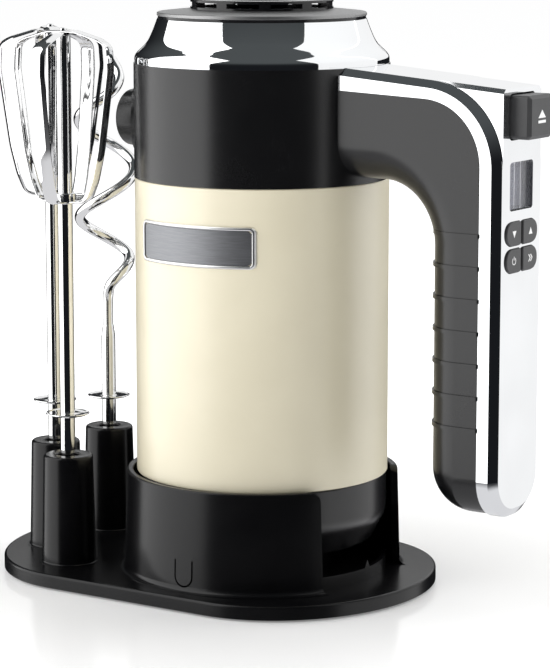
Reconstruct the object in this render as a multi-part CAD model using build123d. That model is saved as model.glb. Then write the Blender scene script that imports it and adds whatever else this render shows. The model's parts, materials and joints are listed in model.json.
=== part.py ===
from build123d import *
import math
import os

# Heights are above the table, and plan positions are measured from the mixer's own axis, in millimetres.
# The handle points along +X, the tool sockets along -X, and the badge faces -Y.

# Storage stand
foot_gap = 0.8
foot_radius = 6.0
plate_top = 6.4
plate_skin = 3.0
plate_wall = 3.0
plate_edge_round = 1.0
plate_half_width = 66.3
plate_right = 72.7
plate_left = 118.0
plate_end = 56.2
foot_places = [(38, 42), (38, -42), (-78, 36), (-78, -36)]
cup_rim = 48.3
cup_clearance = 1.3
cup_draft = 1.2
cup_wall = 3.0
cup_flare = 2.4
flare_land = 0.2
window_half_width = 30.1
window_corner = 4.0
tab_wide = 9.0
tab_tall = 11.3
tab_slit = 0.7
tab_bottom = 8.2
tray_clearance = 3.0
tray_floor = 1.6
tray_lip_wall = 2.0
tray_lip_top = 11.6
tray_tooth_half = 4.0
tray_tooth_top = 14.7
hub_radius = 29.0
hub_wall = 3.0
post_places = [(-71, -41), (-94.5, -19.3), (-94.5, 19.3), (-71, 41)]
post_top = 52.4
post_top_radius = 10.4
post_base_radius = 11.5
post_bore = 4.6
post_flare = 1.3
post_rim_round = 1.2
post_floor = 2.0

# Mixer casing
tail_bottom = 19.6
tail_radius = 52.0
tail_foot_radius = 46.0
tail_shoulder = 31.0
tail_round = 12.0
tail_inner_round = 8.0
tail_wall = 2.4
sleeve_bottom = 47.6
sleeve_top = 170.7
sleeve_radius = 52.5
sleeve_wall = 2.2
spigot_length = 5.0
spigot_wall = 2.2
collar_height = 46.7
collar_radius = 52.7
collar_wall = 3.0
collar_ledge = 12.0
collar_ledge_height = 4.0
boss_reach = 55.0
boss_half_width = 27.5
boss_height = 23.4
boss_rim = 2.0
boss_rim_height = 1.3
boss_round = 1.2
nose_height = 18.0
nose_skirt_radius = 52.3
nose_skirt_height = 3.8
nose_waist_radius = 47.3
nose_waist_share = 0.456
nose_neck_radius = 44.3
nose_neck_share = 0.789
nose_top_radius = 43.4
nose_wall = 1.5
grille_seat_rise = 1.2
plate_disc_radius = 43.0
plate_disc_thickness = 1.4
plate_disc_crown = 1.4
grille_radius = 29.3
grille_wall = 4.3
grille_rise = 7.9
grille_slots = 10
grille_slot_width = 13.5
grille_slot_rise = 4.8
grille_slot_tall = 2.0
vent_cap_thickness = 1.4
badge_height = 147.1
badge_tall = 17.0
badge_half_chord = 27.5
badge_corner = 2.2
badge_frame_width = 1.6
badge_frame_raise = 1.2
badge_plate_raise = 0.6
gland_place = -37.0
gland_radius = 5.5
gland_bore = 3.4
gland_length = 6.0

# Handle
grip_inner = 87.6
grip_seam = 113.2
grip_half_width = 19.5
grip_round = 15.0
grip_wall = 2.5
grip_bottom = 43.2
grip_heel_round = 18.0
arm_rise = 2.7
arm_inner_round = 24.0
seam_root_rise = 38.7
seam_corner_rise = 35.7
seam_round = 26.0
arm_start = 40.0
cover_face = 121.2
cover_half_width = 19.3
cover_chamfer = 2.8
cover_chamfer_across = 3.6
cover_wall = 2.0
cover_side_wall = 3.6
cover_root_rise = 47.7
cover_corner_rise = 41.3
cover_round = 33.5
cover_bottom = 42.2
cover_skirt = 30.0
cover_end_round = 17.0
cover_end_margin = 0.02
block_half_width = 15.3
block_rise = 7.3
block_start = 84.0
block_bevel = 1.7
rib_drop = 15.5
rib_pitch = 12.75
rib_count = 7
rib_raise = 0.7
rib_width = 1.6

# Controls on the handle
display_rise = 3.2
display_wide = 18.6
display_tall = 19.0
display_round = 1.5
lens_recess = 0.6
lens_thickness = 1.0
key_row_drops = (15.2, 25.8)
key_wide = 11.6
key_tall = 9.3
key_spacing = 13.2
key_round = 4.4
key_raise = 0.8
key_back = 114.2
key_travel = 1.0
key_clearance = 0.25
board_back = 107.2
board_thickness = 1.6
board_half_width = 14.0
board_post_radius = 3.0
board_post_inset = 8.0
board_drop = 58.7
board_rise = 15.3
switch_size = 6.0
switch_height = 3.4
plunger_radius = 1.5
eject_rise = 7.4
eject_face = 129.8
eject_back = 113.0
eject_wide = 19.4
eject_tall = 17.0
eject_corner = 1.6
eject_bevel = 1.4
eject_travel = 6.0
eject_clearance = 0.6
rod_radius = 2.5
rod_shoulder = 76.0
rod_shoulder_radius = 5.2
fork_back = 22.0
fork_thickness = 3.0
fork_margin = 3.5
pin_radius = 1.6
pin_depth = 5.0
spring_radius = 4.2
spring_wire = 0.5
spring_turns = 7

# Motor and gearing
shaft_radius = 2.5
shaft_bottom = 59.0
shaft_overhang = 1.0
bearing_radius = 5.5
running_gap = 0.05
can_radius = 33.0
can_wall = 2.0
can_bottom = 58.0
can_top = 129.0
can_floor = 4.0
flange_thickness = 3.0
core_bottom = 80.0
core_top = 114.0
stator_bore = 18.6
rotor_radius = 18.0
winding_height = 5.0
winding_radius = 15.0
coil_inner = 20.5
coil_outer = 30.0
commutator_radius = 8.0
commutator_bottom = 66.5
commutator_top = 74.0
brush_gap = 0.3
brush_width = 5.0
brush_end = 22.0
holder_width = 8.0
holder_start = 12.0
fan_gap = 5.0
fan_height = 10.0
fan_radius = 40.0
fan_hub = 9.0
fan_plate = 1.6
fan_blade = 1.5
fan_blades = 12
gear_module = 1.0
wheel_teeth = 22
worm_pitch_radius = 4.0
worm_turns = 8
tooth_thinning = 0.22
wheel_width = 8.0
spindle_rise = 22.9
spindle_radius = 4.2
socket_clearance = 0.1
socket_depth = 32.0
spindle_front = 54.0
spindle_back = 11.5
knockout_radius = 2.0
bush_radius = 7.0
front_bush_end = 40.0
case_plate_rise = 4.0
case_plate = 3.0
case_back = 8.0
case_front = 38.0
case_half_width = 25.0
case_rise = 18.4
bridge_half_width = 9.0
screw_circle = 43.0
screw_radius = 1.5
screw_head_radius = 2.9
screw_head = 2.4
screw_length = 6.0

# Tools in the stand
tool_shaft_radius = 3.1
splash_disc_radius = 9.25
splash_disc_thickness = 1.4
beater_disc_height = 69.0
beater_hub_radius = 4.6
beater_hub_bottom = 158.5
beater_hub_top = 163.0
blade_width = 6.2
blade_thickness = 1.0
beater_top = 229.6
beater_radius = 21.8
beater_nub_radius = 1.4
beater_nub_height = 1.5
front_beater_turn = 52.0
hook_disc_height = 65.0
hook_taper_bottom = 92.0
hook_taper_top = 98.0
hook_wire_radius = 2.3
hook_helix_radius = 12.0
hook_pitch = 43.0
hook_start = 112.0
hook_turns = 2.4
hook_steps_per_turn = 8
hook_lead_in = 3
hook_tip_share = 0.25
hook_tip_steps = 5

# Sizes worked out from the ones above
spindle_spacing = worm_pitch_radius + gear_module * wheel_teeth / 2
sleeve_bore = sleeve_radius - sleeve_wall
collar_bore = collar_radius - collar_wall
cup_rim_radius = sleeve_radius + cup_clearance + cup_wall
cup_base_radius = cup_rim_radius + cup_draft
tray_radius = cup_base_radius - cup_wall - tray_clearance
tool_bottom = plate_top + post_floor
socket_radius = tool_shaft_radius + socket_clearance
collar_top = sleeve_top + collar_height
nose_skirt_top = collar_top + nose_skirt_height
nose_waist = collar_top + nose_waist_share * nose_height
nose_neck = collar_top + nose_neck_share * nose_height
nose_top = collar_top + nose_height
grille_seat_top = nose_top + grille_seat_rise
plate_disc_edge = grille_seat_top + plate_disc_thickness
plate_disc_top = plate_disc_edge + plate_disc_crown
grille_top = nose_top + grille_rise
grille_slot_bottom = nose_top + grille_slot_rise
grille_slot_top = grille_slot_bottom + grille_slot_tall
arm_underside = sleeve_top + arm_rise
seam_root = sleeve_top + seam_root_rise
seam_corner = sleeve_top + seam_corner_rise
cover_root = sleeve_top + cover_root_rise
cover_corner = sleeve_top + cover_corner_rise
block_bottom = sleeve_top + block_rise
rib_top = sleeve_top - rib_drop
display_height = sleeve_top + display_rise
key_rows = [sleeve_top - drop for drop in key_row_drops]
board_bottom = sleeve_top - board_drop
board_top = sleeve_top + board_rise
spindle_height = sleeve_top + spindle_rise
eject_height = spindle_height + eject_rise
case_plate_bottom = sleeve_top + case_plate_rise
case_top = spindle_height + case_rise
shaft_top = case_top + shaft_overhang
fan_bottom = can_top + fan_gap
fan_top = fan_bottom + fan_height
frame_shift = (plate_left - eject_face) / 2
BASE = (Align.CENTER, Align.CENTER, Align.MIN)


def rod(radius, bottom, top):
    return Pos(0, 0, bottom) * Cylinder(radius, top - bottom, align=BASE)


def tube(outer, inner, bottom, top):
    return rod(outer, bottom, top) - rod(inner, bottom, top)


def rod_along_x(radius, start, end, y=0, z=0):
    return Pos(start, y, z) * Rot(0, 90, 0) * Cylinder(radius, end - start, align=BASE)


def block(x_range, y_range, z_range):
    spans = (x_range, y_range, z_range)
    middle = [sum(span) / 2 for span in spans]
    return Pos(*middle) * Box(*[span[1] - span[0] for span in spans])


def outline(points, radii):
    """A closed flat face, each corner rounded by its own radius."""
    return make_face(FilletPolyline(*points, radius=radii, close=True))


def lathe(points, radii=0):
    """A solid of revolution from a profile of (radius, height) points."""
    corner_radii = radii if radii else [0] * len(points)
    return revolve(Plane.XZ * outline(points, corner_radii), Axis.Z)


def side_slab(points, radii, half_width):
    """A slab with a side-view outline of (x, height) points, centred on the handle's middle plane."""
    return extrude(Plane.XZ * outline(points, radii), half_width, both=True)


def face_prism(points, radii, start, end):
    """A prism along X with a front-view outline of (y, height) points."""
    return Pos(start, 0, 0) * extrude(Plane.YZ * outline(points, radii), end - start)


def rounded_window(wide, tall, y, z, corner, start, end):
    points = [
        (y - wide / 2, z - tall / 2),
        (y + wide / 2, z - tall / 2),
        (y + wide / 2, z + tall / 2),
        (y - wide / 2, z + tall / 2),
    ]
    return face_prism(points, [corner] * 4, start, end)


# Storage stand


def plate_outline(inset):
    end = plate_end - inset
    half = plate_half_width - inset
    straight = plate_right + plate_left - 2 * plate_end
    middle = Pos((plate_right - plate_left) / 2, 0) * Rectangle(straight, 2 * half)
    right = Pos(plate_right - plate_end, 0) * Ellipse(end, half)
    left = Pos(plate_end - plate_left, 0) * Ellipse(end, half)
    return middle + right + left


def make_stand_base():
    slab = extrude(plate_outline(0), plate_top - foot_gap)
    slab = fillet(slab.edges().group_by(Axis.Z)[-1], plate_edge_round)
    pocket = extrude(plate_outline(plate_wall), plate_top - foot_gap - plate_skin)
    return Pos(0, 0, foot_gap) * (slab - pocket)


def make_stand_feet():
    foot = rod(foot_radius, 0, plate_top - plate_skin)
    return [Pos(x, y, 0) * foot for x, y in foot_places]


def rounded_tab(wide, bottom, top):
    """A prism along X with a half-round lower end."""
    half = wide / 2
    lower = rod_along_x(half, 0, 2 * cup_base_radius, z=bottom + half)
    return lower + block((0, 2 * cup_base_radius), (-half, half), (bottom + half, top))


def make_mixer_cup():
    flare_radius = cup_base_radius + cup_flare
    land = plate_top + flare_land
    wall = lathe(
        [
            (cup_base_radius - cup_wall, plate_top),
            (flare_radius, plate_top),
            (flare_radius, land),
            (cup_base_radius, land),
            (cup_rim_radius, cup_rim),
            (cup_rim_radius - cup_wall, cup_rim),
        ],
        [0, 0, 0, 0.9 * cup_flare, 0.3 * cup_wall, 0.3 * cup_wall],
    )
    half = window_half_width
    reach = (0, 2 * cup_base_radius)
    above = cup_rim + window_corner
    window = block(reach, (-half, half), (0, above))
    for side in (-1, 1):
        y = side * (half + window_corner)
        z = cup_rim - window_corner
        corner = block(reach, sorted((side * half, y)), (z, above))
        window += corner - rod_along_x(window_corner, *reach, y, z)
    tab_top = tab_bottom + tab_tall
    around = rounded_tab(tab_wide, tab_bottom, tab_top)
    inside = rounded_tab(tab_wide - 2 * tab_slit, tab_bottom + tab_slit, tab_top + tab_slit)
    slits = Rot(0, 0, 90) * (around - inside)
    return wall - window - slits - mirror(slits, Plane.XZ)


def make_cord_tray():
    floor = plate_top + tray_floor
    lip_inner = tray_radius - tray_lip_wall
    tray = lathe(
        [
            (0, plate_top),
            (tray_radius, plate_top),
            (tray_radius, tray_lip_top),
            (lip_inner, tray_lip_top),
            (lip_inner, floor),
            (hub_radius, floor),
            (hub_radius, tail_bottom),
            (hub_radius - hub_wall, tail_bottom),
            (hub_radius - hub_wall, floor),
            (0, floor),
        ]
    )
    tooth = face_prism(
        [(-tray_tooth_half, floor), (tray_tooth_half, floor), (0, tray_tooth_top)], [0] * 3, 0, tray_radius
    )
    return tray + (tooth & tube(tray_radius, lip_inner, floor, tray_tooth_top))


def make_tool_post():
    land = plate_top + flare_land
    foot = post_base_radius + post_flare
    return lathe(
        [
            (0, plate_top),
            (foot, plate_top),
            (foot, land),
            (post_base_radius, land),
            (post_top_radius, post_top),
            (post_bore, post_top),
            (post_bore, tool_bottom),
            (0, tool_bottom),
        ],
        [0, 0, 0, 0.9 * post_flare, post_rim_round, 0.5 * post_rim_round, 0, 0],
    )


# Mixer casing


def make_tail_cap():
    floor = tail_bottom + tail_wall
    cap = lathe(
        [
            (0, tail_bottom),
            (tail_foot_radius, tail_bottom),
            (tail_radius, tail_shoulder),
            (tail_radius, sleeve_bottom),
            (sleeve_bore, sleeve_bottom),
            (sleeve_bore, sleeve_bottom + spigot_length),
            (sleeve_bore - spigot_wall, sleeve_bottom + spigot_length),
            (sleeve_bore - spigot_wall, tail_shoulder),
            (tail_foot_radius - tail_wall, floor),
            (0, floor),
        ],
        [0, 2.0, tail_round, 0.6, 0, 0, 0, tail_inner_round, 1.0, 0],
    )
    return cap - Pos(gland_place, 0, 0) * rod(gland_radius, tail_bottom - 1, floor + 1)


def make_cord_gland():
    top = tail_bottom + gland_length
    return Pos(gland_place, 0, 0) * tube(gland_radius, gland_bore, tail_bottom - 0.4 * gland_length, top)


def make_body_sleeve():
    return tube(sleeve_radius, sleeve_bore, sleeve_bottom, sleeve_top)


def boss_prism(margin, start, end):
    wide = 2 * boss_half_width + 2 * margin
    tall = boss_height + 2 * margin
    return rounded_window(wide, tall, 0, spindle_height, 0.49 * tall, start, end)


def make_collar_housing():
    shell = tube(collar_radius, collar_bore, sleeve_top, collar_top)
    shell += tube(sleeve_bore, sleeve_bore - spigot_wall, sleeve_top - spigot_length, sleeve_top)
    ledge_top = case_plate_bottom
    shell += tube(collar_bore, collar_bore - collar_ledge, ledge_top - collar_ledge_height, ledge_top)
    rod_hole = rod_along_x(rod_radius + eject_clearance, 0, 2 * collar_radius, z=eject_height)
    screw_holes = [place * rod(screw_radius, sleeve_top - 1, ledge_top + 1) for place in screw_spots()]
    return shell - boss_prism(0, -2 * collar_radius, -case_front) - rod_hole - screw_holes


def make_socket_boss():
    body = boss_prism(0, -boss_reach, -case_front)
    end_face = body.faces().sort_by(Axis.X)[0]
    body = fillet(end_face.edges(), boss_round)
    pad = boss_prism(boss_rim, -boss_reach - boss_rim, 0)
    body += pad & tube(collar_radius + boss_rim_height, collar_radius, sleeve_top, collar_top)
    for side in (-1, 1):
        body -= rod_along_x(bush_radius, -boss_reach - 1, 0, side * spindle_spacing, spindle_height)
    return body


def make_nose_cover():
    inner = [
        (nose_top_radius - nose_wall, nose_top),
        (nose_neck_radius - nose_wall, nose_neck),
        (nose_waist_radius - nose_wall, nose_waist - nose_wall / 2),
        (nose_skirt_radius - nose_wall, nose_skirt_top - nose_wall / 2),
        (nose_skirt_radius - nose_wall, collar_top),
    ]
    outer = [
        (nose_skirt_radius, collar_top),
        (nose_skirt_radius, nose_skirt_top),
        (nose_waist_radius, nose_waist),
        (nose_neck_radius, nose_neck),
        (nose_top_radius, nose_top),
    ]
    waist_round = 0.39 * nose_height
    neck_round = 0.78 * nose_height
    roundings = [0, 0.8, waist_round, neck_round, 0.4]
    return lathe(outer + inner, roundings + [0.4, neck_round, waist_round, 0.5, 0])


def make_vent_grille():
    seat = nose_top_radius - nose_wall - 0.1
    grille_bore = grille_radius - grille_wall
    ring = lathe(
        [
            (grille_bore, nose_top - 2),
            (seat, nose_top - 2),
            (seat, nose_top),
            (plate_disc_radius - 0.4, nose_top),
            (plate_disc_radius - 0.4, grille_seat_top),
            (grille_radius, grille_seat_top),
            (grille_radius, grille_top),
            (grille_bore, grille_top),
        ],
        [0, 0, 0, 0, 0, 0, 0.5, 0],
    )
    slot = block(
        (grille_bore - 1, grille_radius + 1),
        (-grille_slot_width / 2, grille_slot_width / 2),
        (grille_slot_bottom, grille_slot_top),
    )
    return ring - [Rot(0, 0, 360 * i / grille_slots) * slot for i in range(grille_slots)]


def make_nose_plate():
    return lathe(
        [
            (grille_radius, grille_seat_top),
            (plate_disc_radius, grille_seat_top),
            (plate_disc_radius, plate_disc_edge),
            (grille_radius, plate_disc_top),
        ],
        [0, 0, 0.5, 0],
    )


def make_vent_cap():
    return rod(grille_radius - grille_wall, grille_top - vent_cap_thickness, grille_top)


def badge_window(inset):
    wide = 2 * badge_half_chord - 2 * inset
    tall = badge_tall - 2 * inset
    prism = rounded_window(wide, tall, 0, badge_height, badge_corner, 0, 2 * sleeve_radius)
    return Rot(0, 0, -90) * prism


def badge_layer(height):
    return tube(sleeve_radius + height, sleeve_radius, badge_height - badge_tall, badge_height + badge_tall)


def make_badge_frame():
    return badge_layer(badge_frame_raise) & (badge_window(0) - badge_window(badge_frame_width))


def make_badge_plate():
    return badge_layer(badge_plate_raise) & badge_window(badge_frame_width)


# Handle


def collar_clearance():
    return rod(collar_radius, 0, 2 * collar_top)


def grip_solid(inset):
    """The black part of the handle as a solid, drawn in by an inset. With one, it runs on past the seam."""
    inner = grip_inner + inset
    heel = grip_bottom + inset
    under = arm_underside + inset
    beyond = 10.0 if inset else 0.0
    points = [
        (arm_start, under),
        (inner, under),
        (inner, heel),
        (grip_seam + beyond, heel),
        (grip_seam + beyond, seam_corner + 2 * beyond),
        (arm_start, seam_root + 2 * beyond),
    ]
    corner = 0 if inset else seam_round
    radii = [0, arm_inner_round - inset, grip_heel_round - inset, 0, corner, 0]
    half = grip_half_width - inset
    slab = side_slab(points, radii, half)

    def on_inner_edge(edge):
        middle = edge.center()
        on_side = abs(abs(middle.Y) - half) < 0.01
        return on_side and arm_start + 1 < middle.X < grip_seam - 0.1 and middle.Z < under + 0.1

    return fillet(slab.edges().filter_by(on_inner_edge), grip_round - inset)


def end_outline(half, bottom, corner):
    """A front-view outline with a rounded lower end."""
    top = 2 * collar_top
    return outline([(-half, bottom), (half, bottom), (half, top), (-half, top)], [corner, corner, 0, 0])


def end_prism(half, bottom, corner):
    """Trims the free end of the handle to a rounded end."""
    return extrude(Plane.YZ * end_outline(half, bottom, corner), 2 * cover_face)


def bevelled_end():
    """Trims the free end of the cover, with the bevel of its long edges carried round the end."""
    half = cover_half_width + cover_end_margin
    face = Plane.YZ * end_outline(half, cover_bottom, cover_end_round)
    start = cover_face - cover_chamfer
    slope = math.degrees(math.atan2(cover_chamfer_across, cover_chamfer))
    return extrude(face, start) + Pos(start, 0, 0) * extrude(face, cover_chamfer, taper=slope)


def grip_rib(height):
    half = grip_half_width + rib_raise
    inner = grip_inner - rib_raise
    section = outline(
        [(grip_seam, -half), (grip_seam, half), (inner, half), (inner, -half)],
        [0, 0, grip_round + rib_raise, grip_round + rib_raise],
    )
    return Pos(0, 0, height - rib_width / 2) * extrude(section, rib_width)


def make_handle_shell():
    body = grip_solid(0) & end_prism(grip_half_width, cover_bottom, cover_end_round)
    for i in range(rib_count):
        body += grip_rib(rib_top - i * rib_pitch)
    body -= grip_solid(grip_wall)
    for height in (board_bottom + board_post_inset, display_height - board_post_inset):
        body += rod_along_x(board_post_radius, grip_inner + rib_raise, board_back, z=height)
    return body - collar_clearance()


def seam_region():
    """Everything on the grip side of the seam, which the cover leaves to the shell."""
    points = [(0, 0), (grip_seam, 0), (grip_seam, seam_corner), (arm_start, seam_root), (0, seam_root)]
    return side_slab(points, [0, 0, seam_round, 0, 0], 2 * grip_half_width)


def cover_top(x):
    return cover_root + (cover_corner - cover_root) * (x - arm_start) / (cover_face - arm_start)


def cover_solid(inset, half):
    points = [
        (arm_start, seam_root - cover_skirt),
        (grip_inner, seam_root - cover_skirt),
        (grip_inner, cover_bottom + inset),
        (cover_face - inset, cover_bottom + inset),
        (cover_face - inset, cover_corner - inset),
        (arm_start, cover_root - inset),
    ]
    return side_slab(points, [0, 0, 0, 0, cover_round - inset, 0], half)


def corner_block(inset):
    points = [
        (block_start, block_bottom + inset),
        (cover_face - inset, block_bottom + inset),
        (cover_face - inset, cover_top(cover_face) - inset),
        (block_start, cover_top(block_start) - inset),
    ]
    return side_slab(points, [0] * 4, block_half_width - inset)


def key_places():
    return [(side * key_spacing / 2, row) for row in key_rows for side in (-1, 1)]


def key_prism(place, grow, start, end):
    """A key or its hole: square towards the middle of the pad and rounded on its outer side."""
    y, z = place
    wide = key_wide / 2 + grow
    tall = key_tall / 2 + grow
    points = [(y - wide, z - tall), (y + wide, z - tall), (y + wide, z + tall), (y - wide, z + tall)]
    inner = 0.8 + grow
    outer = key_round + grow
    radii = [outer, inner, inner, outer] if y < 0 else [inner, outer, outer, inner]
    return face_prism(points, radii, start, end)


def display_window(start, end):
    return rounded_window(display_wide, display_tall, 0, display_height, display_round, start, end)


def eject_prism(grow, start, end):
    """The eject button or its hole."""
    wide = eject_wide + 2 * grow
    tall = eject_tall + 2 * grow
    return rounded_window(wide, tall, 0, eject_height, eject_corner + grow, start, end)


def make_handle_cover():
    keep_clear = seam_region()

    def on_outer_edge(edge):
        middle = edge.center()
        return abs(abs(middle.Y) - cover_half_width) < 0.01 and not keep_clear.is_inside(middle)

    def on_block_top(edge):
        middle = edge.center()
        return abs(abs(middle.Y) - block_half_width) < 0.01 and middle.Z > cover_corner

    full = cover_solid(0, cover_half_width)
    for end in (0, -1):
        side = full.faces().sort_by(Axis.Y)[end]
        outer = side.edges().filter_by(on_outer_edge)
        full = chamfer(outer, cover_chamfer, cover_chamfer_across, reference=side)
    full = full & bevelled_end()
    raised = corner_block(0)
    full += chamfer(raised.edges().filter_by(on_block_top), block_bevel)
    inside = cover_half_width - cover_side_wall
    hollow = cover_solid(cover_wall, inside)
    full -= hollow & end_prism(inside, cover_bottom + cover_wall, cover_end_round - cover_side_wall)
    full -= corner_block(cover_wall)
    full -= keep_clear
    full -= eject_prism(eject_clearance, grip_inner, 2 * cover_face)
    full -= display_window(grip_seam, 2 * cover_face)
    for place in key_places():
        full -= key_prism(place, key_clearance, grip_seam, 2 * cover_face)
    return full - collar_clearance()


def make_display_lens():
    front = cover_face - lens_recess
    return display_window(front - lens_thickness, front)


def make_display_module():
    front = cover_face - lens_recess - lens_thickness
    start = board_back + board_thickness
    return rounded_window(display_wide - 0.6, display_tall - 0.6, 0, display_height, 1.0, start, front)


def make_control_board():
    half = board_half_width
    return block((board_back, board_back + board_thickness), (-half, half), (board_bottom, board_top))


def make_key_switches():
    start = board_back + board_thickness
    half = switch_size / 2
    switches = []
    for y, z in key_places():
        body = block((start, start + switch_height), (y - half, y + half), (z - half, z + half))
        switches.append(body + rod_along_x(plunger_radius, start, key_back - key_travel, y, z))
    return switches


def make_key(place):
    key = key_prism(place, 0, key_back, cover_face + key_raise)
    return fillet(key.faces().sort_by(Axis.X)[-1].edges(), 0.5)


# Ejector


def make_eject_button():
    button = eject_prism(0, eject_back, eject_face)
    return chamfer(button.faces().sort_by(Axis.X)[-1].edges(), eject_bevel)


def make_eject_rod():
    rod_body = rod_along_x(rod_radius, fork_back, eject_back, z=eject_height)
    return rod_body + rod_along_x(rod_shoulder_radius, rod_shoulder, rod_shoulder + 2, z=eject_height)


def make_ejector_fork():
    half = spindle_spacing + fork_margin
    low = spindle_height - fork_margin
    front = fork_back - fork_thickness
    fork = block((front, fork_back), (-half, half), (low, eject_height + fork_margin))
    for side in (-1, 1):
        fork += rod_along_x(pin_radius, pin_depth, front, side * spindle_spacing, spindle_height)
    return fork


def make_eject_spring():
    start = collar_radius + spring_wire
    length = rod_shoulder - spring_wire - start
    path = Helix(length / spring_turns, length, spring_radius)
    coil = sweep(Plane(path @ 0, z_dir=path % 0) * Circle(spring_wire), path=path, is_frenet=True)
    return Pos(start, 0, eject_height) * Rot(0, 90, 0) * coil


# Motor


def make_motor_can():
    floor = can_bottom + can_floor
    flange = can_top - flange_thickness
    return lathe(
        [
            (bearing_radius, can_bottom),
            (can_radius, can_bottom),
            (can_radius, flange),
            (sleeve_bore, flange),
            (sleeve_bore, can_top),
            (can_radius - can_wall, can_top),
            (can_radius - can_wall, floor),
            (bearing_radius, floor),
        ]
    )


def make_stator_core():
    return tube(can_radius - can_wall, stator_bore, core_bottom, core_top)


def make_field_coils():
    lower = tube(coil_outer, coil_inner, core_bottom - winding_height, core_bottom)
    upper = tube(coil_outer, coil_inner, core_top, core_top + winding_height)
    return [lower, upper]


def make_rotor_core():
    return tube(rotor_radius, shaft_radius, core_bottom, core_top)


def make_rotor_winding():
    lower = tube(winding_radius, shaft_radius, core_bottom - winding_height, core_bottom)
    upper = tube(winding_radius, shaft_radius, core_top, core_top + winding_height)
    return [lower, upper]


def make_commutator():
    return tube(commutator_radius, shaft_radius, commutator_bottom, commutator_top)


def make_motor_bearings():
    bore = shaft_radius + running_gap
    case_floor = case_plate_bottom + case_plate
    seats = [
        (can_bottom, can_bottom + can_floor),
        (case_plate_bottom, case_floor),
        (case_top - case_plate, case_top),
    ]
    return [tube(bearing_radius, bore, low, high) for low, high in seats]


def brush_bore(side):
    half = brush_width / 2
    start = commutator_radius + brush_gap
    middle = (commutator_bottom + commutator_top) / 2
    return block((-half, half), sorted((side * start, side * brush_end)), (middle - half, middle + half))


def make_carbon_brushes():
    return [brush_bore(side) for side in (-1, 1)]


def make_brush_holders():
    half = holder_width / 2
    middle = (commutator_bottom + commutator_top) / 2
    inside = rod(can_radius - can_wall, can_bottom, can_top)
    holders = []
    for side in (-1, 1):
        reach = sorted((side * holder_start, side * can_radius))
        holder = block((-half, half), reach, (middle - half, middle + half))
        holders.append((holder & inside) - brush_bore(side))
    return holders


def make_cooling_fan():
    fan = rod(fan_hub, fan_bottom, fan_top) + rod(fan_radius, fan_bottom, fan_bottom + fan_plate)
    blade = block((fan_hub - 1, fan_radius), (-fan_blade / 2, fan_blade / 2), (fan_bottom, fan_top))
    for i in range(fan_blades):
        fan += Rot(0, 0, 360 * i / fan_blades) * blade
    return fan - rod(shaft_radius, fan_bottom, fan_top)


# Gearing


def make_rotor_shaft():
    """The motor shaft with the right-hand worm that drives both wheels."""
    lead = math.pi * gear_module
    root = worm_pitch_radius - 1.25 * gear_module
    tip = worm_pitch_radius + gear_module
    slope = math.tan(math.radians(20))
    half = lead / 4 - tooth_thinning / 2
    sunk = root - 0.3
    wide = half + (worm_pitch_radius - sunk) * slope
    narrow = half - gear_module * slope
    start = spindle_height - worm_turns / 2 * lead
    length = worm_turns * lead
    path = Pos(0, 0, start) * Helix(lead, length, root)
    flanks = [(sunk, start - wide), (tip, start - narrow), (tip, start + narrow), (sunk, start + wide)]
    section = Plane.XZ * make_face(Polyline(*flanks, close=True))
    thread = sweep(section, path=path, is_frenet=True)
    core = rod(root, start - lead / 2, start + length + lead / 2)
    return rod(shaft_radius, shaft_bottom, shaft_top) + core + thread


def involute_angle(radius, base):
    ratio = math.sqrt((radius / base) ** 2 - 1)
    return ratio - math.atan(ratio)


def wheel_face():
    pitch = gear_module * wheel_teeth / 2
    base = pitch * math.cos(math.radians(20))
    root = pitch - 1.25 * gear_module
    tip = pitch + gear_module
    half_tooth = (math.pi * gear_module / 2 - tooth_thinning) / (2 * pitch)
    flank_radii = [base + (tip - base) * i / 4 for i in range(5)]
    flank = [(r, half_tooth + involute_angle(pitch, base) - involute_angle(r, base)) for r in flank_radii]
    side = [(root, flank[0][1])] + flank
    points = []
    for i in range(wheel_teeth):
        centre = 2 * math.pi * i / wheel_teeth
        tooth = [(r, centre - a) for r, a in side] + [(r, centre + a) for r, a in reversed(side)]
        points += [(r * math.cos(a), r * math.sin(a)) for r, a in tooth]
    return make_face(Polyline(*points, close=True))


def make_worm_wheel(side):
    """A helical wheel whose teeth follow the worm's thread, turned so that a gap meets the thread."""
    lead_slope = gear_module / (2 * worm_pitch_radius)
    pitch = gear_module * wheel_teeth / 2
    twist = math.degrees(wheel_width * lead_slope / pitch)
    gap_turn = 90 / wheel_teeth
    section = Pos(0, 0, -wheel_width / 2) * Rot(0, 0, gap_turn - twist / 2) * wheel_face()
    wheel = Part() + Solid.extrude_linear_with_rotation(
        section.faces()[0], (0, 0, -wheel_width / 2), (0, 0, wheel_width), twist
    )
    wheel -= rod(spindle_radius, -wheel_width, wheel_width)
    turned = Plane(origin=(0, side * spindle_spacing, spindle_height), x_dir=(0, 1, 0), z_dir=(1, 0, 0))
    return turned * wheel


def make_spindle(side):
    y = side * spindle_spacing
    body = rod_along_x(spindle_radius, -spindle_front, spindle_back, y, spindle_height)
    body -= rod_along_x(socket_radius, -spindle_front, socket_depth - spindle_front, y, spindle_height)
    return body - rod_along_x(knockout_radius, -spindle_front, spindle_back, y, spindle_height)


def make_spindle_bushes():
    spans = [(-spindle_front + 1, -front_bush_end), (case_back, case_back + case_plate)]
    bushes = []
    for side in (-1, 1):
        for start, end in spans:
            y = side * spindle_spacing
            outer = rod_along_x(bush_radius, start, end, y, spindle_height)
            bushes.append(outer - rod_along_x(spindle_radius + running_gap, start, end, y, spindle_height))
    return bushes


def screw_spots():
    return [Rot(0, 0, 45 + 90 * i) * Pos(screw_circle, 0, 0) for i in range(4)]


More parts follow.
